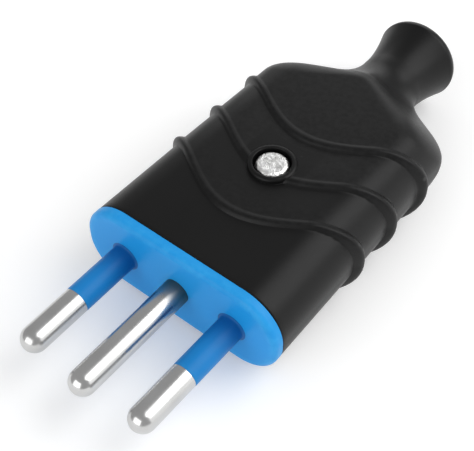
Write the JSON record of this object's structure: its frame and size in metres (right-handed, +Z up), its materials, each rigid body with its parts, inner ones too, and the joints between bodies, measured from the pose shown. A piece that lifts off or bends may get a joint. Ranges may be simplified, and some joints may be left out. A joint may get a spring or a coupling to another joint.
{
  "type": "power plug",
  "caption": "Rewireable in-line mains plug: round pins in a row, blue moulded contact carrier and black chevron-ribbed rubber boot with a flared cable neck.",
  "frame": {"origin": "centre of the plug's footprint, on the surface that it lies on", "axes": "+Y along the plug from the pins to the cable neck, +X along the row of pins, +Z up through the retaining screw"},
  "size_m": [0.0346, 0.082, 0.0161],
  "materials": {
    "black_rubber": "matt moulded",
    "blue_plastic": "satin moulded",
    "plated_brass": "bright nickel plate, turned",
    "zinc_steel": "zinc plate",
    "bright_screw": "bright nickel plate",
    "bare_brass": "machined"
  },
  "bodies": {
    "root": {"rubber_boot": "black_rubber", "contact_carrier": "blue_plastic", "line_pin": "plated_brass", "neutral_pin": "plated_brass", "earth_pin": "plated_brass", "line_terminal_screw": "zinc_steel", "neutral_terminal_screw": "zinc_steel", "earth_terminal_screw": "zinc_steel", "retaining_screw": "bright_screw", "retaining_nut": "bare_brass", "cord_clamp": "blue_plastic", "cord_clamp_screw_left": "zinc_steel", "cord_clamp_screw_right": "zinc_steel"}
  },
  "joints": []
}
